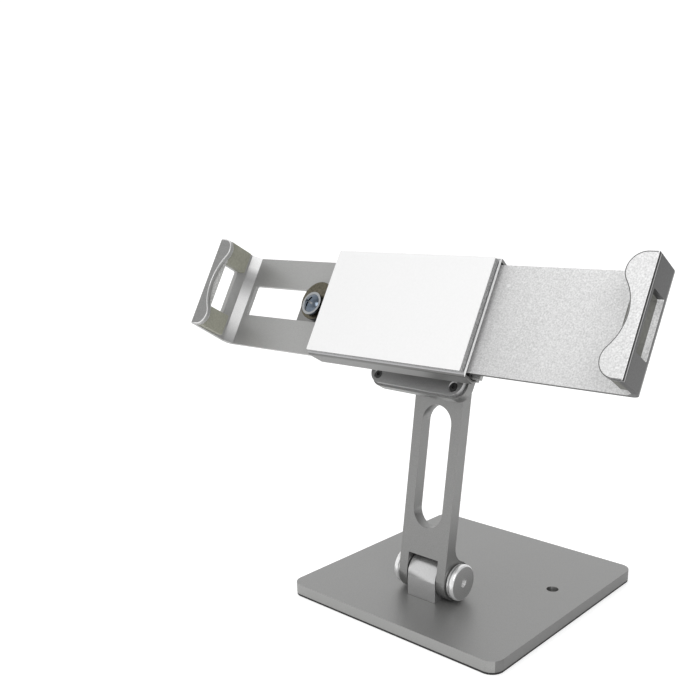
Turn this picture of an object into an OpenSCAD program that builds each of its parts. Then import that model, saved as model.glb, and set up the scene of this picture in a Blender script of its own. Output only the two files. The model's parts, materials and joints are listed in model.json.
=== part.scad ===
// Tablet stand: a tilting slotted post on a weighted base carries a head that turns,
// and two hooked arms slide in the head to grip a tablet by its edges.

/* [Base] */
// Side of the square base plate
base_size = 140; // [120:1:180]
// Thickness of the base plate
base_thick = 6; // [5:0.5:8]
// Plan radius of the base corners
base_corner = 7; // [3:0.5:10]
// Thickness of the rubber mat under the base
mat_thick = 1.1; // [0.5:0.1:1.1]
// Diameter of the hole that bolts the base to a table
anchor_d = 6.6; // [4.5:0.1:8.5]
// Distance of that hole to the right of centre
anchor_x = 48.7; // [30:0.1:55]
// Distance of that hole behind centre
anchor_y = 15.5; // [-40:0.1:50]

/* [Base hinge] */
// Distance of the hinge in front of the base's centre
hinge_forward = 29; // [10:0.5:45]
// Height of the hinge axis above the table
hinge_z = 18.3; // [18:0.1:22]
// Radius of the hinge block's round top and of the post's ears
knuckle_r = 10.9; // [9:0.1:11]
// Width of the hinge block
block_w = 19; // [14:0.5:19]
// Diameter of the hinge pin
pin_d = 8; // [6:0.5:8]
// Diameter of the round heads at the hinge's sides
disc_d = 19.8; // [16:0.2:22]

/* [Post] */
// Backward lean of the post
post_lean = 8.6; // [0:0.1:15]
// Width of the post
post_w = 31.3; // [30:0.1:34]
// Thickness of the flat bar
bar_thick = 7; // [5:0.1:8]
// Width of the gap between the post's ears
fork_w = 20; // [19.5:0.1:20.5]
// Width of the long slot
slot_w = 19.2; // [12:0.2:20]
// Height of the slot's lower end above the hinge axis, along the post
slot_low = 27.2; // [24:0.1:40]
// Height of the slot's upper end above the hinge axis, along the post
slot_high = 93.4; // [70:0.1:96]

/* [Head place] */
// Height of the head's centre above the hinge axis, along the post
hub_up = 142.4; // [138:0.1:150]
// Distance of the head's front in front of the hinge axis, square to the post
hub_ahead = 49.2; // [46:0.1:52]
// Backward tilt of the head on the post
head_pitch = 21.3; // [18:0.1:25]
// Angle that the head stands turned on its hub
head_turn = 1; // [-10:0.5:10]

/* [Housing] */
// Left end of the housing, from the hub
housing_left = -52.3; // [-60:0.1:-50]
// Right end of the housing, from the hub
housing_right = 46.7; // [44:0.1:50]
// Outer height of the housing
housing_h = 57.4; // [57:0.1:60]
// Left end of the back plate, from the hub
back_left = -80.2; // [-81:0.1:-78]

/* [Arms] */
// Thickness of the arms and of the hook lips
sheet = 2; // [1.8:0.1:2]
// Height of both arms
arm_h = 52.4; // [50:0.2:53]
// Distance from the hub to the outside of each hook
hook_reach = 129; // [127:0.5:132]
// Thickness of the hook walls
wall_t = 2.8; // [2:0.1:3.2]
// Distance from the pad's face out to the front of the right lip
right_lip_out = 12.6; // [10:0.1:16]
// Distance from the pad's face out to the front of the left lip
left_lip_out = 14.6; // [12:0.1:18]
// Thickness of the soft liner on the hook walls
liner_t = 4.8; // [3:0.1:5]
// Height of the left arm's slot
arm_slot_h = 17.7; // [17.6:0.1:18]
// Left end of that slot, from the hub
arm_slot_left = -119.2; // [-121:0.1:-118]

/* [Hidden] */
$fn = 64;

fit = 0.05;                 // radial play of a running shaft
gap = 0.3;                  // play between sliding sheets
eps = 0.01;                 // overshoot of a cut

base_top = mat_thick + base_thick;
hinge_y = -hinge_forward;
pin_r = pin_d / 2;
disc_r = disc_d / 2;
collar_t = 1.8;             // thickness of the bright collar under each round head
disc_t = 3;                 // thickness of each round head
bar_back = bar_thick - knuckle_r;   // back face of the bar, behind the hinge axis
fillet_r = 9.5;             // fillet from the bar into its round ends
barrel_up = hub_up - hub_ahead * tan(head_pitch);   // upper barrel, on the hub's own axis

// Layers of the head, as distances behind the pad's face
foam_front = 0.4;
cover_front = 3;
cover_t = 1.5;
cover_inner = cover_front + cover_t;
arm_r_front = 6.3;
arm_r_back = arm_r_front + sheet;
arm_l_front = 11.3;
arm_l_back = arm_l_front + sheet;
back_front = arm_l_back + gap;
back_t = 2.4;
back_rear = back_front + back_t;
cover_rear = 14.8;          // back edge of the cover's walls
end_slant = 2.4;            // its right end is cut back this much there
rotor_rear = back_rear + 3;
washer_rear = rotor_rear + 0.8;
plate_front = 28.7;
plate_rear = plate_front + 3;
flange_t = 5;
flange_rear = plate_rear + flange_t;

inner_h = housing_h - 2 * cover_t;
clamp_x = -66;              // axis of the clamp screw
washer_up = 2.8;            // the washer's round edge is this far off its hole
left_drop = 0.6;            // the left arm rests this much low in its guides
right_rise = 0.2;           // the right arm rests this much high in its guides
lock_x = 38;                // axis of the lock
corner_r = 4.8;             // outer radius where an arm turns into its hook
right_chamfer = 3;          // filled inside corner there, on the right
left_chamfer = 4.2;         // filled inside corner there, on the left
lip_edge_r = 0.5;           // outer radius where a hook turns into its lip
lobe_x = hook_reach - 4.3;  // distance of the lobes' centres from the hub
// Lips: height of each lobe's centre from the middle, radius of the lobes, and how far
// the bottom of the hollow between them is nearer to the hub than their centres
right_lobes = [18.4, 7.8, 1.5];
left_lobes = [18.9, 6.3, 0.1];
lip_liner_t = 1.1;          // thickness of the soft liner behind the lips
right_window = [-8.8, 2.4, 26.2];   // front and back edges and height of the wall's window
left_window = [-12.2, 1.2, 26.2];
plate_screw_x = 24.3;
plate_screw_u = 27;
standoff_xs = [-44, -14];
right_arm_end = -10;        // inner end of the right arm
strip_x = 16;               // near end of the brake strip
strip_len = 74;
strip_u = 13.4;             // lower edge of the brake strip
rivet_u = strip_u + 3.3;
rivet_xs = [strip_x + 5, strip_x + strip_len / 2, strip_x + strip_len - 5];

// Frames: a child's +X is to the right, +Y to the back and +Z up along the part
module in_post() {
    translate([0, hinge_y, hinge_z]) rotate([-post_lean, 0, 0]) children();
}
module in_mount() {
    in_post() translate([0, -hub_ahead, hub_up]) rotate([-head_pitch, 0, 0]) children();
}
module in_head() {
    in_mount() rotate([0, -head_turn, 0]) children();
}

// Rectangle with true round corners
module round_rect(w, h, r) {
    square([w - 2 * r, h], center = true);
    square([w, h - 2 * r], center = true);
    for (x = [-1, 1], y = [-1, 1]) translate([x * (w / 2 - r), y * (h / 2 - r)]) circle(r);
}
// Slot with round ends, standing along Y
module obround(w, low, high) {
    translate([-w / 2, low + w / 2]) square([w, high - low - w]);
    for (y = [low + w / 2, high - w / 2]) translate([0, y]) circle(w / 2);
}
// Cylinder along +Y between two distances behind the pad's face
module rod_y(r, from, to, r2 = 0) {
    translate([0, from, 0]) rotate([-90, 0, 0]) cylinder(h = to - from, r1 = r, r2 = r2 > 0 ? r2 : r);
}
// Cylinder along +X between two stations
module rod_x(r, from, to, r2 = 0) {
    translate([from, 0, 0]) rotate([0, 90, 0]) cylinder(h = to - from, r1 = r, r2 = r2 > 0 ? r2 : r);
}
// Plan outline in X and Z, given a thickness along +Y
module slab_y(from, to) {
    translate([0, to, 0]) rotate([90, 0, 0]) linear_extrude(to - from) children();
}
// Side outline in Y and Z, given a width along X
module slab_x(from, to) {
    translate([from, 0, 0]) rotate([90, 0, 90]) linear_extrude(to - from) children();
}
module box(x0, x1, y0, y1, z0, z1) {
    translate([x0, y0, z0]) cube([x1 - x0, y1 - y0, z1 - z0]);
}
module hex_y(across, from, to) {
    translate([0, from, 0]) rotate([-90, 0, 0]) cylinder(h = to - from, r = across / sqrt(3), $fn = 6);
}

// ---- Base ----
block_screw_dy = 6.8;       // screws before and behind the hinge pin
block_screw_r = 2.5;
block_screw_top = 15;

module base_outline() {
    round_rect(base_size, base_size, base_corner);
}
module base_plate() {
    color([0.72, 0.72, 0.73]) difference() {
        translate([0, 0, mat_thick]) linear_extrude(base_thick) base_outline();
        translate([anchor_x, anchor_y, 0]) cylinder(h = 20, d = anchor_d);
        for (s = [-1, 1]) translate([0, hinge_y + s * block_screw_dy, mat_thick]) {
            cylinder(h = 20, r = block_screw_r + 0.2);
            translate([0, 0, -eps]) cylinder(h = 2.7, r1 = 5.2, r2 = block_screw_r);
        }
    }
}
module rubber_mat() {
    color([0.06, 0.06, 0.06]) difference() {
        linear_extrude(mat_thick) round_rect(base_size - 0.2, base_size - 0.2, base_corner);
        translate([anchor_x, anchor_y, -1]) cylinder(h = 4, d = anchor_d + 1);
    }
}
module hinge_block() {
    color([0.72, 0.72, 0.73]) difference() {
        translate([-block_w / 2, hinge_y, 0]) rotate([90, 0, 90]) linear_extrude(block_w) {
            translate([0, hinge_z]) circle(knuckle_r);
            translate([-knuckle_r, base_top]) square([2 * knuckle_r, hinge_z - base_top]);
        }
        translate([0, hinge_y, hinge_z]) rod_x(pin_r + fit, -20, 20);
        for (s = [-1, 1]) translate([0, hinge_y + s * block_screw_dy, 0])
            cylinder(h = block_screw_top, r = block_screw_r);
    }
}
module block_screws() {
    color([0.3, 0.3, 0.31]) for (s = [-1, 1]) translate([0, hinge_y + s * block_screw_dy, mat_thick]) {
        cylinder(h = 2.5, r1 = 5, r2 = block_screw_r);
        cylinder(h = block_screw_top - mat_thick, r = block_screw_r);
    }
}

// ---- Base hinge, riding with the post ----
module round_head() {
    rotate([0, 90, 0]) rotate_extrude() polygon([[0, 0], [disc_r - 0.5, 0], [disc_r, 0.5],
        [disc_r, disc_t - 0.7], [disc_r - 0.7, disc_t], [0, disc_t]]);
}
disc_x = post_w / 2 + collar_t;
module hinge_bolt() {
    color([0.78, 0.78, 0.79]) in_post() difference() {
        union() {
            translate([disc_x, 0, 0]) round_head();
            rod_x(pin_r, -post_w / 2 - collar_t - 1, disc_x + 1);
        }
        rod_x(2.3, disc_x + disc_t - 1.4, disc_x + disc_t + 1, $fn = 6);
    }
}
module hinge_nut() {
    color([0.78, 0.78, 0.79]) in_post() mirror([1, 0, 0]) difference() {
        translate([disc_x, 0, 0]) round_head();
        rod_x(pin_r, disc_x - 1, disc_x + 1);
        rod_x(2.3, disc_x + disc_t - 1.4, disc_x + disc_t + 1, $fn = 6);
    }
}
module hinge_collars() {
    color([0.9, 0.9, 0.9]) in_post() for (s = [0, 1]) mirror([s, 0, 0]) difference() {
        union() {
            rod_x(8.8, post_w / 2, disc_x);
            rod_x(9.6, post_w / 2 + 0.6, disc_x - 0.3);
        }
        rod_x(pin_r, post_w / 2 - 1, disc_x + 1);
    }
}
module friction_washers() {
    color([0.15, 0.15, 0.15]) in_post() for (s = [0, 1]) mirror([s, 0, 0]) difference() {
        rod_x(9, block_w / 2 + fit, fork_w / 2);
        rod_x(pin_r, block_w / 2 - 1, fork_w / 2 + 1);
    }
}

// ---- Post ----
fillet_y = bar_back + fillet_r;                          // fillet centre behind the hinge axis
fillet_z = sqrt(pow(knuckle_r + fillet_r, 2) - pow(fillet_y, 2));
touch = knuckle_r / (knuckle_r + fillet_r);              // where the fillet meets the round end
// Fillet from the bar's back into the round end below it
module end_fillet() {
    difference() {
        polygon([[-knuckle_r + 1, 0], [0, 0], [fillet_y * touch, fillet_z * touch],
            [fillet_y, fillet_z], [-knuckle_r + 1, fillet_z]]);
        translate([fillet_y, fillet_z]) circle(fillet_r, $fn = 96);
    }
}
module post_side() {
    circle(knuckle_r, $fn = 96);
    end_fillet();
    translate([-knuckle_r, 0]) square([bar_thick, barrel_up]);
    translate([0, barrel_up]) {
        circle(knuckle_r, $fn = 96);
        mirror([0, 1]) end_fillet();
    }
    translate([-hub_ahead, hub_up]) rotate(-head_pitch)
        translate([flange_rear - eps, -knuckle_r])
            square([hub_ahead / cos(head_pitch) - flange_rear, 2 * knuckle_r]);
}
module post() {
    fork_top = knuckle_r + 0.5;
    color([0.7, 0.7, 0.7]) difference() {
        union() {
            in_post() slab_x(-post_w / 2, post_w / 2) post_side();
            in_mount() slab_y(plate_rear, flange_rear) round_rect(61, 65, 7);
        }
        in_post() {
            box(-fork_w / 2, fork_w / 2, -20, 20, -20, fork_top);
            rod_x(pin_r, -20, 20);
            slab_y(-20, 0) obround(slot_w, slot_low, slot_high);
        }
        in_mount() for (x = [-1, 1], z = [-1, 1]) translate([x * plate_screw_x, 0, z * plate_screw_u])
            rod_y(1.5, plate_rear - 1, flange_rear + 1);
    }
}

// ---- Turntable, fixed on the post ----
module turntable_plate() {
    color([0.66, 0.66, 0.66]) in_mount() difference() {
        union() {
            slab_y(plate_front, plate_rear) round_rect(59, 63, 6.5);
            rod_y(20, washer_rear, plate_front + eps);
        }
        rod_y(pin_r, 0, 40);
        rod_y(7, plate_rear - 5, 40);
        for (x = [-1, 1], z = [-1, 1]) translate([x * plate_screw_x, 0, z * plate_screw_u]) {
            rod_y(1.6, plate_front - 1, plate_rear + 1);
            rod_y(2.3, plate_front - 1, plate_front + 2);
            rod_y(3.1, plate_front - 0.4, plate_front + 0.4, 2.3);
        }
    }
}
module plate_screws() {
    color([0.05, 0.05, 0.05]) in_mount()
        for (x = [-1, 1], z = [-1, 1]) translate([x * plate_screw_x, 0, z * plate_screw_u]) difference() {
            union() {
                rod_y(2.15, plate_front + 0.4, plate_front + 2);
                rod_y(1.5, plate_front + 1, flange_rear - 0.5);
            }
            rod_y(1.1, plate_front - 1, plate_front + 1.3, $fn = 6);
        }
}
module pivot_bolt() {
    color([0.6, 0.6, 0.62]) in_mount() {
        rod_y(6.8, plate_rear - 5, plate_rear - 0.2);
        rod_y(pin_r, 9.3, plate_rear - 1);
    }
}
module turntable_washer() {
    color([0.12, 0.12, 0.12]) in_mount() difference() {
        rod_y(19, rotor_rear + fit, washer_rear);
        rod_y(pin_r, 10, 40);
    }
}
module pivot_washer() {
    color([0.75, 0.75, 0.76]) in_mount() difference() {
        rod_y(8, back_front - 0.65, back_front - fit);
        rod_y(pin_r, 5, 40);
    }
}
module pivot_nut() {
    color([0.75, 0.75, 0.76]) in_mount() difference() {
        hex_y(13, 9.6, back_front - 0.65);
        rod_y(pin_r, 5, 40);
    }
}

// ---- Head ----
module back_plate() {
    color([0.7, 0.7, 0.7]) in_head() difference() {
        slab_y(back_front, back_rear) {
            translate([housing_left, -inner_h / 2]) square([housing_right - housing_left, inner_h]);
            translate([back_left / 2, 0]) round_rect(-back_left, 50, 2);
        }
        rod_y(pin_r + fit, 0, 40);
        translate([clamp_x, 0, 0]) rod_y(4, 0, 40);
        translate([lock_x, 0, 0]) rod_y(6, 0, 40);
        rotor_holes(1.5);
        for (x = standoff_xs) translate([x, 0, 0]) rod_y(1.25, 0, 40);
    }
}
module rotor_holes(r) {
    for (a = [45:90:315]) rotate([0, a, 0]) translate([17, 0, 0]) rod_y(r, 0, 40);
}
module rotor_disc() {
    color([0.62, 0.62, 0.63]) in_head() difference() {
        rod_y(22, back_rear, rotor_rear);
        rod_y(pin_r + fit, 0, 40);
        for (a = [45:90:315]) rotate([0, a, 0]) translate([17, 0, 0]) {
            rod_y(1.5, 0, 40);
            rod_y(1.5, rotor_rear - 1.5, rotor_rear + eps, 3);
        }
    }
}
module rotor_screws() {
    color([0.3, 0.3, 0.31]) in_head() for (a = [45:90:315]) rotate([0, a, 0]) translate([17, 0, 0]) {
        rod_y(1.5, back_front + 0.2, rotor_rear - 0.3);
        rod_y(1.5, rotor_rear - 1.5, rotor_rear - 0.1, 2.8);
    }
}
// Channel that wraps the arms: a front sheet with a wall above and below
module cover_side() {
    bend_out = 2.2;
    h = housing_h / 2;
    difference() {
        union() {
            translate([cover_front, -h + bend_out]) square([cover_rear - cover_front, 2 * (h - bend_out)]);
            translate([cover_front + bend_out, -h]) square([cover_rear - cover_front - bend_out, 2 * h]);
            for (s = [-1, 1]) translate([cover_front + bend_out, s * (h - bend_out)]) circle(bend_out);
        }
        translate([cover_inner, -inner_h / 2]) square([20, inner_h]);
    }
}
module front_cover() {
    color([0.66, 0.66, 0.67]) in_head() difference() {
        slab_x(housing_left, housing_right) cover_side();
        for (x = standoff_xs) translate([x, 0, 0]) {
            rod_y(1.5, 0, cover_inner + 1);
            rod_y(2.9, cover_front - eps, cover_front + 1.4, 1.5);
        }
        translate([0, 0, -housing_h]) linear_extrude(2 * housing_h)
            polygon([[housing_right, cover_inner], [housing_right + 1, cover_inner],
                [housing_right + 1, cover_rear + 1], [housing_right - end_slant, cover_rear + 1]]);
    }
}
pad_left = housing_left + 1.6;
pad_right = housing_right - 0.7;
module pad_sheet(front, back) {
    in_head() slab_y(front, back) translate([(pad_left + pad_right) / 2, 0])
        round_rect(pad_right - pad_left, 54.6, 0.6);
}
module pad_foam() {
    color([0.2, 0.2, 0.2]) pad_sheet(foam_front, cover_front);
}
module pad_face() {
    color([0.95, 0.95, 0.95]) pad_sheet(0, foam_front);
}
// Two strips, above and below, that hold the arms apart
module strip_pair(front, back) {
    in_head() for (s = [0, 1]) mirror([0, 0, s])
        box(housing_left + 1, housing_right - 1, front, back, 21, inner_h / 2);
}
module guide_strips() {
    color([0.1, 0.1, 0.1]) strip_pair(cover_inner, arm_r_front - gap);
}
module spacer_strips() {
    color([0.1, 0.1, 0.1]) strip_pair(arm_r_back + gap, arm_l_front - gap);
}
module cover_standoffs() {
    color([0.75, 0.7, 0.5]) in_head() for (x = standoff_xs) translate([x, 0, 0]) {
        difference() {
            rod_y(3.5, cover_inner, back_front);
            rod_y(1.5, cover_inner - 1, cover_inner + 6);
        }
        rod_y(1.25, back_front - 1, back_rear);
    }
}
module cover_screws() {
    color([0.3, 0.3, 0.31]) in_head() for (x = standoff_xs) translate([x, 0, 0]) {
        rod_y(1.5, cover_front + 0.2, cover_inner + 5);
        rod_y(2.8, cover_front + 0.05, cover_front + 1.35, 1.5);
    }
}
module clamp_bush() {
    color([0.75, 0.75, 0.76]) in_head() translate([clamp_x, 0, 0]) difference() {
        union() {
            rod_y(4, back_front, back_rear + 1);
            rod_y(5.5, back_rear, back_rear + 4);
        }
        rod_y(3 + fit, 0, 40);
    }
}

// ---- Lock ----
lock_rear = 25.8;           // key face
cam_front = 9;
cam_rear = 10.5;
module lock_barrel() {
    color([0.78, 0.78, 0.79]) in_head() translate([lock_x, 0, 0]) difference() {
        union() {
            rod_y(6, cam_rear + 0.3, lock_rear - 1);
            rod_y(8, back_rear, lock_rear - 0.6);
            rod_y(8, lock_rear - 0.6, lock_rear, 7.4);
        }
        rod_y(4 + fit, 0, 40);
    }
}
module lock_nut() {
    color([0.75, 0.75, 0.76]) in_head() translate([lock_x, 0, 0]) difference() {
        hex_y(15, cam_rear + 0.7, back_front);
        rod_y(6, 0, 40);
    }
}
module lock_plug() {
    color([0.82, 0.82, 0.83]) in_head() translate([lock_x, 0, 0]) difference() {
        rod_y(4, cam_rear, lock_rear - 0.3);
        box(-0.6, 0.6, lock_rear - 6, lock_rear + 1, -2.6, 2.6);
        rod_y(1.25, cam_rear - 1, cam_rear + 6);
    }
}
module lock_cam() {
    color([0.65, 0.65, 0.66]) in_head() translate([lock_x, 0, 0]) difference() {
        slab_y(cam_front, cam_rear) {
            circle(5);
            translate([0, -3]) square([strip_u - 3.1, 6]);
            translate([strip_u - 3.1, 0]) circle(3);
        }
        rod_y(1.25, cam_front - 1, cam_rear + 1);
        rod_y(2.6, cam_front - eps, cam_front + 1.2, 1.25);
    }
}
module cam_screw() {
    color([0.3, 0.3, 0.31]) in_head() translate([lock_x, 0, 0]) {
        rod_y(1.25, cam_front + 0.1, cam_rear + 5);
        rod_y(2.5, cam_front + 0.05, cam_front + 1.15, 1.25);
    }
}

// ---- Arms ----
wall_in = hook_reach - wall_t;
// Hook seen from above: plate, filled corner and wall
module hook_plan(front, inner_end, lip, chamfer) {
    back = front + sheet;
    difference() {
        union() {
            translate([inner_end, front]) square([hook_reach - inner_end, sheet]);
            translate([wall_in, lip + lip_edge_r]) square([wall_t, back - lip - lip_edge_r]);
            polygon([[wall_in - chamfer, front], [wall_in, front - chamfer],
                [wall_in + 1, front + 1], [wall_in - chamfer, front + 1]]);
        }
        translate([hook_reach - corner_r, back - corner_r]) difference() {
            square(corner_r + 1);
            circle(corner_r, $fn = 96);
        }
    }
    translate([wall_in, lip]) square([wall_t - lip_edge_r, 3]);
    translate([hook_reach - lip_edge_r, lip + lip_edge_r]) circle(lip_edge_r);
}
// Lip seen from the front: two lobes and, running into both, a round hollow between them
module lip_front(inset, outer, lobes) {
    lobe_u = lobes[0];
    lobe_r = lobes[1];
    scoop_deep = lobe_x - lobes[2];
    reach = scoop_deep + lobe_r;
    scoop_x = (pow(reach, 2) - pow(lobe_x, 2) - pow(lobe_u, 2)) / (2 * (reach - lobe_x));
    scoop_r = scoop_deep - scoop_x + inset;
    meet = scoop_r / (reach - scoop_x);
    meet_x = scoop_x + (lobe_x - scoop_x) * meet;
    high = lobe_u + lobe_r - inset;
    difference() {
        union() {
            for (s = [-1, 1]) translate([lobe_x, s * lobe_u]) circle(lobe_r - inset);
            translate([meet_x, -lobe_u * meet]) square([outer - meet_x, 2 * lobe_u * meet]);
            translate([lobe_x, -high]) square([outer - lobe_x, 2 * high]);
        }
        translate([scoop_x, 0]) circle(scoop_r, $fn = 128);
        translate([outer, -50]) square([20, 100]);
    }
}
module wall_window(window, r) {
    slab_x(wall_in - liner_t - 1, hook_reach + 1) translate([(window[0] + window[1]) / 2, -0.3])
        round_rect(window[1] - window[0], window[2], r);
}
// Wedges that taper the hook's wall down to the height of its lip
module hook_tapers(front, lip, lip_high) {
    high = arm_h / 2;
    slab_x(wall_in - 12, hook_reach + 1) for (s = [0, 1]) mirror([0, s])
        polygon([[front, high], [lip, lip_high], [lip - 1, lip_high],
            [lip - 1, high + 1], [front, high + 1]]);
}
// Right-handed hooked arm with its inner end at the given distance from the hub
module hooked_arm(front, inner_end, lip, chamfer, window, lobes) {
    lip_high = lobes[0] + lobes[1];
    difference() {
        union() {
            translate([0, 0, -arm_h / 2]) linear_extrude(arm_h) hook_plan(front, inner_end, lip, chamfer);
            slab_y(lip, lip + sheet) lip_front(0, wall_in + 1, lobes);
        }
        if (lip_high < arm_h / 2 - 0.1) hook_tapers(front, lip, lip_high);
        wall_window(window, 0.8);
    }
}
// Soft liner behind the lip and along the wall, down to the given depth and height
module hook_liner(lip, depth, low, window, lobes) {
    high = lobes[0] + lobes[1] - 0.6;
    difference() {
        union() {
            slab_y(lip + sheet, lip + sheet + lip_liner_t) lip_front(1, wall_in, lobes);
            box(wall_in - liner_t, wall_in, lip + sheet, depth, low, high);
        }
        wall_window(window, 0.8);
    }
}
module left_frame() {
    in_head() translate([0, 0, -left_drop]) mirror([1, 0, 0]) children();
}
module left_arm() {
    prong_end = 50;
    slot_len = prong_end - arm_slot_left + 9;
    color([0.66, 0.66, 0.66]) left_frame() difference() {
        hooked_arm(arm_l_front, -prong_end, -left_lip_out, left_chamfer, left_window, left_lobes);
        slab_y(arm_l_front - 1, arm_l_back + 1) {
            translate([-prong_end - 10, left_drop - arm_slot_h / 2]) square([slot_len, arm_slot_h]);
            translate([-arm_slot_left - 4, left_drop]) round_rect(8, arm_slot_h, 1);
        }
    }
}
module left_liner() {
    open_window = [left_window[0] + 0.6, 3, left_window[2]];
    color([0.42, 0.42, 0.37]) left_frame() hook_liner(-left_lip_out, 2, -24.9, open_window, left_lobes);
}
module right_arm() {
    color([0.85, 0.85, 0.87]) in_head() difference() {
        translate([0, 0, right_rise])
            hooked_arm(arm_r_front, right_arm_end, -right_lip_out, right_chamfer, right_window,
                right_lobes);
        slab_y(arm_r_front - 1, arm_r_back + 1) {
            translate([right_arm_end - 10, -4.2]) square([50, 8.4]);
            translate([right_arm_end + 40, 0]) circle(4.2);
        }
        rivet_holes();
    }
}
module right_liner() {
    color([0.42, 0.42, 0.37]) in_head() translate([0, 0, right_rise])
        hook_liner(-right_lip_out, 3.1, -25, right_window, right_lobes);
}
module rivet_holes() {
    for (x = rivet_xs) translate([x, 0, rivet_u]) rod_y(1, arm_r_front - 1, cam_rear + 1);
}
// Bar on the back of the right arm that the lock's cam jams against
module brake_strip() {
    color([0.6, 0.6, 0.62]) in_head() difference() {
        box(strip_x, strip_x + strip_len, arm_r_back, cam_rear, strip_u, strip_u + 6.6);
        rivet_holes();
    }
}
module strip_rivets() {
    color([0.7, 0.7, 0.7]) in_head() for (x = rivet_xs) translate([x, 0, rivet_u])
        rod_y(1, arm_r_front + 0.05, cam_rear);
}

// ---- Clamp screw of the left arm ----
washer_front = arm_l_front - 1.6;
flange_front = 6.8;         // front of the screw's flange
module clamp_washer() {
    color([0.42, 0.4, 0.33]) in_head() translate([clamp_x, 0, 0]) difference() {
        translate([0, 0, washer_up]) rod_y(10.6, washer_front, arm_l_front - 0.1);
        rod_y(3.2, 0, 40);
    }
}
module clamp_spacer() {
    color([0.05, 0.05, 0.05]) in_head() translate([clamp_x, 0, 0]) difference() {
        rod_y(4.8, flange_front + 1, washer_front - fit);
        rod_y(3, 0, 40);
    }
}
module clamp_screw() {
    dome_r = 5.1;
    dome_h = 2.4;
    ball_r = (dome_r * dome_r + dome_h * dome_h) / (2 * dome_h);
    color([0.75, 0.76, 0.78]) in_head() translate([clamp_x, 0, 0]) difference() {
        union() {
            rod_y(3, flange_front, back_rear + 3.5);
            rod_y(6.35, flange_front, flange_front + 1);
            translate([0, flange_front, 0]) rotate([90, 0, 0]) rotate_extrude() intersection() {
                square([dome_r, dome_h]);
                translate([0, dome_h - ball_r]) circle(ball_r, $fn = 96);
            }
        }
        for (a = [0, 90]) rotate([0, a + 20, 0])
            box(-2.9, 2.9, flange_front - 5, flange_front - 0.4, -0.55, 0.55);
    }
}

base_plate();
rubber_mat();
hinge_block();
block_screws();
hinge_bolt();
hinge_nut();
hinge_collars();
friction_washers();
post();
turntable_plate();
plate_screws();
pivot_bolt();
turntable_washer();
pivot_washer();
pivot_nut();
back_plate();
rotor_disc();
rotor_screws();
front_cover();
pad_foam();
pad_face();
guide_strips();
spacer_strips();
cover_standoffs();
cover_screws();
clamp_bush();
lock_barrel();
lock_nut();
lock_plug();
lock_cam();
cam_screw();
left_arm();
left_liner();
clamp_screw();
clamp_spacer();
clamp_washer();
right_arm();
right_liner();
brake_strip();
strip_rivets();
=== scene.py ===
# Tablet stand: finishes, painted light and shade, small details, floor, light and camera around the
# imported CAD model.
import json
import math

import bpy
import bmesh
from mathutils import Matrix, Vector


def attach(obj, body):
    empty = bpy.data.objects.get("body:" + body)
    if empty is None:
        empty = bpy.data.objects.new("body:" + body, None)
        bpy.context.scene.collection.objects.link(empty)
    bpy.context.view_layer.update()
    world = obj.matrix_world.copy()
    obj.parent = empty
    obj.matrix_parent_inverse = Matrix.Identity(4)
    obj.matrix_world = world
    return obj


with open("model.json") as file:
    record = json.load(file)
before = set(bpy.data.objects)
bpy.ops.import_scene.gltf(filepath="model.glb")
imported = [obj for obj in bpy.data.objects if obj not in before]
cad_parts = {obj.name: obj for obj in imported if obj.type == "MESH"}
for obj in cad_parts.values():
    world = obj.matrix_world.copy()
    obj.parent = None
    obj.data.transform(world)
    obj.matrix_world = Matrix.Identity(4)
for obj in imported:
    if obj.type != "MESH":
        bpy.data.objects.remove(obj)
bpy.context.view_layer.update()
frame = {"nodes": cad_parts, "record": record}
nodes = frame["nodes"]
scene = bpy.context.scene

MM = 1000  # millimetres in a metre


# ---- Materials ----
def new_material(name, color, metallic, rough, specular=0.5):
    """A Principled material of one even colour, with its node tree and its shader."""
    mat = bpy.data.materials.new(name)
    mat.use_nodes = True
    bsdf = mat.node_tree.nodes["Principled BSDF"]
    bsdf.inputs["Base Color"].default_value = (*color, 1)
    bsdf.inputs["Metallic"].default_value = metallic
    bsdf.inputs["Roughness"].default_value = rough
    bsdf.inputs["Specular IOR Level"].default_value = specular
    return mat, mat.node_tree, bsdf


def noise(tree, scale, detail):
    """Grain of the given fineness in the object's own space."""
    coord = tree.nodes.new("ShaderNodeTexCoord")
    tex = tree.nodes.new("ShaderNodeTexNoise")
    tex.inputs["Scale"].default_value = scale
    tex.inputs["Detail"].default_value = detail
    tree.links.new(coord.outputs["Object"], tex.inputs["Vector"])
    return tex.outputs["Fac"]


def ramp(tree, fac, low, high, start=0.3, stop=0.7):
    """Two colours blended over the middle of the grain's range."""
    node = tree.nodes.new("ShaderNodeValToRGB")
    node.color_ramp.elements[0].position = start
    node.color_ramp.elements[0].color = (*low, 1)
    node.color_ramp.elements[1].position = stop
    node.color_ramp.elements[1].color = (*high, 1)
    tree.links.new(fac, node.inputs["Fac"])
    return node.outputs["Color"]


def bump(tree, bsdf, fac, strength, distance):
    """Small unevenness that follows the grain."""
    node = tree.nodes.new("ShaderNodeBump")
    node.inputs["Strength"].default_value = strength
    node.inputs["Distance"].default_value = distance
    tree.links.new(fac, node.inputs["Height"])
    tree.links.new(node.outputs["Normal"], bsdf.inputs["Normal"])


def grained(name, color, metallic, rough, spread, grain, depth, detail, strength):
    """A material whose grain shows in its colour and in its height."""
    mat, tree, bsdf = new_material(name, color, metallic, rough)
    fac = noise(tree, grain, detail)
    low = [c * (1 - spread) for c in color]
    high = [min(1, c * (1 + spread)) for c in color]
    tree.links.new(ramp(tree, fac, low, high), bsdf.inputs["Base Color"])
    bump(tree, bsdf, fac, strength, depth)
    return mat


BLAST_DETAIL = 3.0
BLAST_STRENGTH = 0.6


def blasted(name, color, spread, rough, grain, depth, metallic=1.0):
    """Sandblasted and anodised metal, also used below for painted shade and painted highlights."""
    return grained(name, color, metallic, rough, spread, grain, depth, BLAST_DETAIL, BLAST_STRENGTH)


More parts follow.
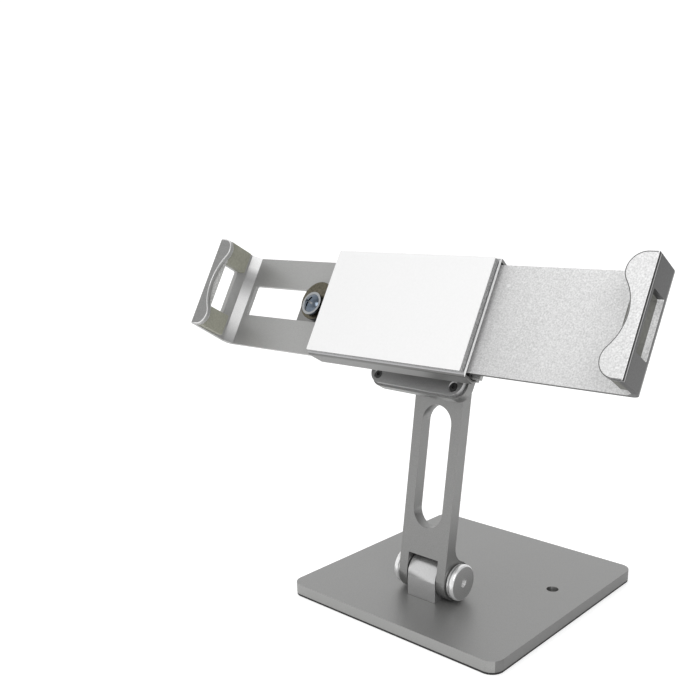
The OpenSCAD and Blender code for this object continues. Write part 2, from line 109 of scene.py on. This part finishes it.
def plain(name, color, metallic, rough, spread=0.15, grain=800, depth=0.00001):
    """Plastic, rubber, foam or bare steel, also used below for painted shade, painted shadow and a
    painted highlight.
    """
    return grained(name, color, metallic, rough, spread, grain, depth, detail=2.0, strength=0.4)


base_grey = blasted("base_grey", (0.275, 0.275, 0.272), 0.08, 0.42, 2500, 0.00002, 0.6)
# Painted shade: shaded copies of the base's grey for its front and its other sides
base_front_painted_shade = blasted("base_front_painted_shade", (0.31, 0.31, 0.305), 0.08, 0.45, 2500, 0.00002, 0.9)
base_side_painted_shade = blasted("base_side_painted_shade", (0.18, 0.18, 0.178), 0.08, 0.45, 2500, 0.00002, 0.9)
post_grey = blasted("post_grey", (0.235, 0.235, 0.232), 0.1, 0.4, 2500, 0.00002, 0.9)
block_grey = blasted("block_grey", (0.54, 0.54, 0.54), 0.08, 0.35, 2500, 0.00002, 0.9)
disc_grey = blasted("disc_grey", (0.56, 0.56, 0.558), 0.12, 0.35, 2000, 0.00002, 0.9)
# Painted highlight for the round faces of the hinge's bolt and nut
disc_rim_painted_highlight = blasted("disc_rim_painted_highlight", (0.8, 0.8, 0.8), 0.06, 0.3, 2000, 0.00001, 0.6)
plate_grey = blasted("plate_grey", (0.37, 0.37, 0.37), 0.1, 0.42, 2500, 0.00002, 0.9)
cover_grey = blasted("cover_grey", (0.4, 0.4, 0.405), 0.08, 0.4, 2500, 0.00002)
# Painted shade for the cover's faces that look down or to the right
cover_under_painted_shade = blasted("cover_under_painted_shade", (0.17, 0.17, 0.167), 0.08, 0.4, 2500, 0.00002)
cut_edge = blasted("cut_edge", (0.78, 0.78, 0.78), 0.08, 0.4, 2500, 0.00001, 0.3)
arm_grey = blasted("arm_grey", (0.34, 0.34, 0.335), 0.08, 0.42, 2200, 0.00002, 0.5)
# Painted shade: a darker copy of the left arm's grey for its lip
lip_painted_shade = blasted("lip_painted_shade", (0.22, 0.22, 0.217), 0.14, 0.42, 1500, 0.00002, 0.5)


def graded_painted_light(name, stops, axis, origin, spread, grain, metallic, depth, interpolation="LINEAR"):
    """Blasted metal whose grey changes along an axis as painted light and shade; stops are millimetres
    from origin and grey.
    """
    any_grey = (0.1, 0.1, 0.1)  # the stops take its place
    mat, tree, bsdf = new_material(name, any_grey, metallic, rough=0.42)
    coord = tree.nodes.new("ShaderNodeTexCoord")
    dot = tree.nodes.new("ShaderNodeVectorMath")
    dot.operation = "DOT_PRODUCT"
    dot.inputs[1].default_value = axis * MM
    tree.links.new(coord.outputs["Object"], dot.inputs[0])
    first, last = stops[0][0], stops[-1][0]
    start = origin.dot(axis) * MM
    reach = tree.nodes.new("ShaderNodeMapRange")
    reach.inputs["From Min"].default_value = first + start
    reach.inputs["From Max"].default_value = last + start
    tree.links.new(dot.outputs["Value"], reach.inputs["Value"])
    steps = tree.nodes.new("ShaderNodeValToRGB")
    steps.color_ramp.interpolation = interpolation
    while len(steps.color_ramp.elements) < len(stops):
        steps.color_ramp.elements.new(0.5)
    for step, (at, grey) in zip(steps.color_ramp.elements, stops):
        step.position = (at - first) / (last - first)
        step.color = (grey, grey, grey, 1)
    tree.links.new(reach.outputs["Result"], steps.inputs["Fac"])
    fac = noise(tree, grain, BLAST_DETAIL)
    speckle = ramp(tree, fac, [1 - spread] * 3, [1 + spread] * 3)
    mix = tree.nodes.new("ShaderNodeVectorMath")
    mix.operation = "MULTIPLY"
    tree.links.new(steps.outputs["Color"], mix.inputs[0])
    tree.links.new(speckle, mix.inputs[1])
    tree.links.new(mix.outputs["Vector"], bsdf.inputs["Base Color"])
    bump(tree, bsdf, fac, BLAST_STRENGTH, depth)
    return mat


# Painted shadow and painted highlight for the lines along the hook lips
edge_painted_shadow = blasted("edge_painted_shadow", (0.12, 0.12, 0.12), 0.1, 0.4, 1500, 0.00001)
edge_painted_highlight = blasted("edge_painted_highlight", (0.75, 0.75, 0.75), 0.1, 0.3, 1500, 0.00001)

white_pad = plain("white_pad", (0.76, 0.76, 0.76), 0.0, 0.6, 0.01)
foam = plain("foam", (0.27, 0.27, 0.27), 0.0, 0.9, 0.45, 1600, 0.00003)
rubber = plain("rubber", (0.012, 0.012, 0.012), 0.0, 0.8)
liner = plain("liner", (0.25, 0.25, 0.205), 0.0, 0.75, 0.1, 900, 0.00003)
# Painted shade: a darker copy of the liner for the right hook's liner
liner_painted_shade = plain("liner_painted_shade", (0.14, 0.14, 0.128), 0.0, 0.75, 0.1, 900, 0.00003)
# Painted highlight for the left liner's front edge
liner_edge_painted_highlight = plain("liner_edge_painted_highlight", (0.42, 0.42, 0.41), 0.2, 0.5, 0.3, 1200)
black_plastic = plain("black_plastic", (0.02, 0.02, 0.02), 0.0, 0.6)
bright = plain("bright_steel", (0.7, 0.7, 0.7), 0.7, 0.3, 0.1, 1500)
plated = plain("plated", (0.12, 0.145, 0.18), 1.0, 0.2, 0.1)
plated_ring = plain("plated_ring", (0.33, 0.34, 0.35), 0.8, 0.35, 0.1)
olive = plain("olive_washer", (0.11, 0.1, 0.075), 1.0, 0.35, 0.25)
black_steel = plain("black_steel", (0.12, 0.12, 0.12), 1.0, 0.4)
# Painted shadow for the rim of the clamp screw's washer
washer_rim_painted_shadow = plain("washer_rim_painted_shadow", (0.03, 0.03, 0.03), 0.0, 0.8)
brass = plain("brass", (0.7, 0.55, 0.3), 1.0, 0.3)

# The head's hub and its axes: along the arms, up its face, and back through it
hub = Vector((0, -0.056353, 0.166456))
along = Vector((0.99985, 0.0087, 0.01513))
upward = Vector((-0.01745, 0.49841, 0.86676))
inward = Vector((0, 0.8669, -0.4985))
# Painted light on the right hook's wall from the front to the back: painted shade, a painted highlight
# along the edge, a line of painted shade, then the wall in painted shade
hook_side_painted_light_stops = [(-13, 0.03), (-11.4, 0.35), (-10.6, 0.04), (-10.1, 0.11), (3.6, 0.17), (9, 0.17)]
hook_side_painted_light = graded_painted_light("hook_side_painted_light", hook_side_painted_light_stops, inward, hub, 0.15, 1600, 0.9, 0.00001, "CONSTANT")
# Painted reflection and shade along the left hook's chamfer, from its lower to its upper end
chamfer_painted_light_stops = [(-26, 0.2), (-21.8, 0.31), (-18.2, 0.45), (-14.6, 0.55), (-10, 0.62), (-3, 0.62),
                 (0.4, 0.57), (4, 0.44), (7.6, 0.31), (11.3, 0.25), (15.2, 0.35), (18.8, 0.7), (26, 0.8)]
chamfer_painted_light = graded_painted_light("chamfer_painted_light", chamfer_painted_light_stops, upward, hub, 0.08, 2200, 0.2, 0.00002)
# Painted light: the right arm grows lighter towards its upper right
silver_painted_light_stops = [(30, 0.52), (56, 0.58), (80, 0.62), (105, 0.68)]
silver_with_painted_light = graded_painted_light("silver_with_painted_light", silver_painted_light_stops, along * 0.8 + upward * 0.6, hub, 0.2, 1400, 0.3, 0.00004)

# Finish by the record's material slot, and by node where a node differs from its slot
finish = {
    "grey_aluminium": post_grey, "silver_aluminium": silver_with_painted_light, "white_pad": white_pad,
    "black_rubber": rubber, "grey_rubber": liner, "black_plastic": black_plastic, "bright_steel": bright,
    "plated_zinc": bright, "dull_washer": olive, "black_steel": black_steel, "brass": brass,
}
# The right liner's darker grey is painted shade
own = {"front_cover": cover_grey, "pad_foam": foam, "base_plate": base_grey, "left_arm": arm_grey,
       "hinge_block": block_grey, "hinge_bolt": disc_grey, "hinge_nut": disc_grey,
       "turntable_plate": plate_grey, "clamp_screw": plated, "right_liner": liner_painted_shade}
slot_of = {s["node"]: s["material_slot"] for s in frame["record"]["subparts"]}

WELD_GAP = 1e-6
FLAT_DEGREES = 0.5
SHARP_DEGREES = 30


def soften(obj, width):
    """Breaks the sharp edges of a CAD node and shades it smoothly between them."""
    weld = obj.modifiers.new("weld", "WELD")
    weld.merge_threshold = WELD_GAP
    flat = obj.modifiers.new("flat", "DECIMATE")
    flat.decimate_type = "DISSOLVE"
    flat.angle_limit = math.radians(FLAT_DEGREES)
    flat.delimit = {"MATERIAL"}
    bevel = obj.modifiers.new("bevel", "BEVEL")
    bevel.width = width
    bevel.segments = 2
    bevel.limit_method = "ANGLE"
    bevel.angle_limit = math.radians(SHARP_DEGREES)
    bevel.harden_normals = True
    bevel.use_clamp_overlap = True


def paint(obj, mat, test):
    """Gives the faces of a CAD node picked by a test of normal and depth another material, mostly
    painted light and shade.
    """
    obj.data.materials.append(mat)
    index = len(obj.data.materials) - 1
    turn = obj.matrix_world.to_3x3()
    for poly in obj.data.polygons:
        depth = (obj.matrix_world @ poly.center - hub).dot(inward) * MM
        if test(turn @ poly.normal, depth):
            poly.material_index = index


# Widths of the softened edges, in metres
edge = {"base_plate": 0.0007, "post": 0.0005, "hinge_block": 0.0005, "turntable_plate": 0.0005,
        "front_cover": 0.0002, "left_arm": 0.00015, "hinge_bolt": 0.0003, "hinge_nut": 0.0003}
for name, obj in nodes.items():
    obj.data.materials.clear()
    obj.data.materials.append(own.get(name) or finish[slot_of[name]])
    for poly in obj.data.polygons:
        poly.material_index = 0
    if name in edge:
        soften(obj, edge[name])

# Faces with a material of their own, mostly painted light and shade, picked by their normal n and by
# their depth d behind the hub in mm
painted = [
    # Painted shade, with painted highlight bands, on the faces of the right arm that look outwards or
    # down
    ("right_arm", hook_side_painted_light, lambda n, d: n.dot(along) > 0.6 or n.dot(upward) < -0.9),
    # Painted highlight on the front edge of the left liner, painted shade on the lip and painted
    # reflection and shade on the chamfer of the left hook
    ("left_liner", liner_edge_painted_highlight, lambda n, d: d < -11.2),
    ("left_arm", lip_painted_shade, lambda n, d: n.dot(inward) < -0.9 and d < -12),
    ("left_arm", chamfer_painted_light, lambda n, d: n.dot(along) > 0.5 and n.dot(inward) < -0.5),
    # Painted shade on the front and other sides of the base
    ("base_plate", base_front_painted_shade, lambda n, d: n.y < -0.7),
    ("base_plate", base_side_painted_shade, lambda n, d: abs(n.z) < 0.5 and n.y > -0.7),
    # Painted shade on the faces of the cover that look down or to the right, then those that look
    # squarely to the right
    ("front_cover", cover_under_painted_shade, lambda n, d: n.dot(along) > 0.9 or n.dot(upward) < -0.6),
    ("front_cover", cut_edge, lambda n, d: n.dot(along) > 0.99),
    # Painted highlight on the round faces of the hinge's bolt and nut
    ("hinge_bolt", disc_rim_painted_highlight, lambda n, d: abs(n.x) < 0.8),
    ("hinge_nut", disc_rim_painted_highlight, lambda n, d: abs(n.x) < 0.8),
    # Faces of the clamp screw that look squarely to the front, and painted shadow on the rim of its
    # washer
    ("clamp_screw", plated_ring, lambda n, d: n.dot(inward) < -0.996),
    ("clamp_washer", washer_rim_painted_shadow, lambda n, d: abs(n.dot(inward)) < 0.5),
]
for name, mat, test in painted:
    paint(nodes[name], mat, test)


# ---- Painted shadow and painted highlights along the hook lips ----
def head_point(x, depth, height):
    """World place of a point given in millimetres along the head's axes from its hub."""
    return hub + (along * x + inward * depth + upward * height) / MM


LOBE_X = 124.7
LIP_END_X = 128.4
LOBE_STEPS = 20
SCOOP_STEPS = 12


def lip_outline(inset, lobe_u, lobe_r, deep, rise):
    """The lip's free edge as millimetres along and up, from its lower end, for a hook on the right.

    A round lobe at either end meets a hollow between them that reaches in to deep.
    """
    reach = deep + lobe_r
    scoop_x = (reach ** 2 - LOBE_X ** 2 - lobe_u ** 2) / (2 * (reach - LOBE_X))
    turn = math.atan2(lobe_u, LOBE_X - scoop_x)
    round_r = lobe_r - inset
    path = [(LIP_END_X, -lobe_u - lobe_r + inset)]
    for i in range(LOBE_STEPS):
        a = -math.pi / 2 - (math.pi / 2 + turn) * i / LOBE_STEPS
        path.append((LOBE_X + round_r * math.cos(a), -lobe_u + round_r * math.sin(a)))
    scoop_r = deep - scoop_x + inset
    for i in range(SCOOP_STEPS + 1):
        a = turn * (i / SCOOP_STEPS - 1)
        path.append((scoop_x + scoop_r * math.cos(a), scoop_r * math.sin(a)))
    path += [(x, -u) for x, u in reversed(path[:-1])]
    return [(x, u + rise) for x, u in path]


def sweep(name, points, radius, mat, body, sides=8):
    """A round wire along a line of world points."""
    bm = bmesh.new()
    rings = []
    for i, p in enumerate(points):
        ahead = (points[min(i + 1, len(points) - 1)] - points[max(i - 1, 0)]).normalized()
        first = ahead.cross(inward).normalized()
        second = ahead.cross(first).normalized()
        ring = []
        for k in range(sides):
            a = 2 * math.pi * k / sides
            ring.append(bm.verts.new(p + (first * math.cos(a) + second * math.sin(a)) * radius))
        rings.append(ring)
    for a, b in zip(rings, rings[1:]):
        for k in range(sides):
            bm.faces.new((a[k], a[(k + 1) % sides], b[(k + 1) % sides], b[k]))
    bm.faces.new(rings[0])
    bm.faces.new(list(reversed(rings[-1])))
    bmesh.ops.recalc_face_normals(bm, faces=bm.faces)
    mesh = bpy.data.meshes.new(name)
    bm.to_mesh(mesh)
    bm.free()
    mesh.materials.append(mat)
    for poly in mesh.polygons:
        poly.use_smooth = True
    piece = bpy.data.objects.new(name, mesh)
    scene.collection.objects.link(piece)
    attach(piece, body)


right_edge = lip_outline(inset=0.25, lobe_u=18.4, lobe_r=7.8, deep=123.2, rise=0.2)
left_edge = [(-x, u) for x, u in lip_outline(inset=0.3, lobe_u=18.9, lobe_r=6.3, deep=124.6, rise=-0.6)]
# Name, line, depth in mm, radius in m, painted colour and body of each painted line
rims = [
    ("right_lip_rim", right_edge, -12.45, 0.00025, edge_painted_shadow, "right_arm"),
    ("left_lip_rim", left_edge, -14.4, 0.00035, edge_painted_highlight, "left_arm"),
    ("left_lip_back_rim", left_edge[3:-3], -12.9, 0.0003, edge_painted_highlight, "left_arm"),
]
for name, line, depth, radius, mat, body in rims:
    sweep(name, [head_point(x, depth, u) for x, u in line], radius, mat, body)

# ---- Floor ----
FLOOR_HALF = 6
FLOOR_DROP = 0.0002  # keeps the mat's underside clear of the floor
FLOOR_GLOW = 0.45
floor_mesh = bpy.data.meshes.new("floor")
bm = bmesh.new()
bmesh.ops.create_grid(bm, x_segments=4, y_segments=4, size=FLOOR_HALF)
bm.to_mesh(floor_mesh)
bm.free()
floor = bpy.data.objects.new("floor", floor_mesh)
scene.collection.objects.link(floor)
floor_mat, tree, bsdf = new_material("floor", (0.8, 0.8, 0.8), metallic=0.0, rough=0.8, specular=0.2)
bsdf.inputs["Emission Color"].default_value = (1, 1, 1, 1)
bsdf.inputs["Emission Strength"].default_value = FLOOR_GLOW
floor_mesh.materials.append(floor_mat)
floor.location.z = -FLOOR_DROP

# ---- Light ----
# The surroundings are white on the left and grow greyer towards the right
SKY_START = -0.25
SKY_STOP = 0.6
SKY_GREY = 0.4
SKY_STRENGTH = 1.1
world = bpy.data.worlds.new("studio")
scene.world = world
world.use_nodes = True
sky = world.node_tree
where = sky.nodes.new("ShaderNodeTexCoord")
split = sky.nodes.new("ShaderNodeSeparateXYZ")
shade = sky.nodes.new("ShaderNodeValToRGB")
spread = sky.nodes.new("ShaderNodeMapRange")
spread.inputs["From Min"].default_value = SKY_START
spread.inputs["From Max"].default_value = SKY_STOP
shade.color_ramp.elements[0].color = (1, 1, 1, 1)
shade.color_ramp.elements[1].color = (SKY_GREY, SKY_GREY, SKY_GREY, 1)
sky.links.new(where.outputs["Generated"], split.inputs["Vector"])
sky.links.new(split.outputs["X"], spread.inputs["Value"])
sky.links.new(spread.outputs["Result"], shade.inputs["Fac"])
sky.links.new(shade.outputs["Color"], sky.nodes["Background"].inputs["Color"])
sky.nodes["Background"].inputs["Strength"].default_value = SKY_STRENGTH


def softbox(name, place, target, size, power):
    """A rectangular lamp that faces its target."""
    data = bpy.data.lights.new(name, "AREA")
    data.shape = "RECTANGLE"
    data.size, data.size_y = size
    data.energy = power
    lamp = bpy.data.objects.new(name, data)
    lamp.location = place
    lamp.rotation_euler = (Vector(target) - Vector(place)).to_track_quat("-Z", "Y").to_euler()
    scene.collection.objects.link(lamp)


softbox("key", place=(0.85, -0.7, 0.7), target=(0, 0, 0.15), size=(0.7, 0.7), power=6)

# ---- Camera ----
CAMERA_PLACE = (0.2716, -0.3666, 0.2201)
CAMERA_DOWN_DEGREES = 16.19
CAMERA_TURN_DEGREES = 39.62
SENSOR_MM = 36
LENS_MM = 44.43223
SHIFT = (-0.103671, 0.127729)
NEAR = 0.01
cam_data = bpy.data.cameras.new("camera")
camera = bpy.data.objects.new("camera", cam_data)
scene.collection.objects.link(camera)
camera.location = CAMERA_PLACE
camera.rotation_euler = (math.radians(90 - CAMERA_DOWN_DEGREES), 0, math.radians(CAMERA_TURN_DEGREES))
cam_data.sensor_width = SENSOR_MM
cam_data.lens = LENS_MM
cam_data.shift_x, cam_data.shift_y = SHIFT
cam_data.clip_start = NEAR
scene.camera = camera
scene.view_settings.view_transform = "Standard"
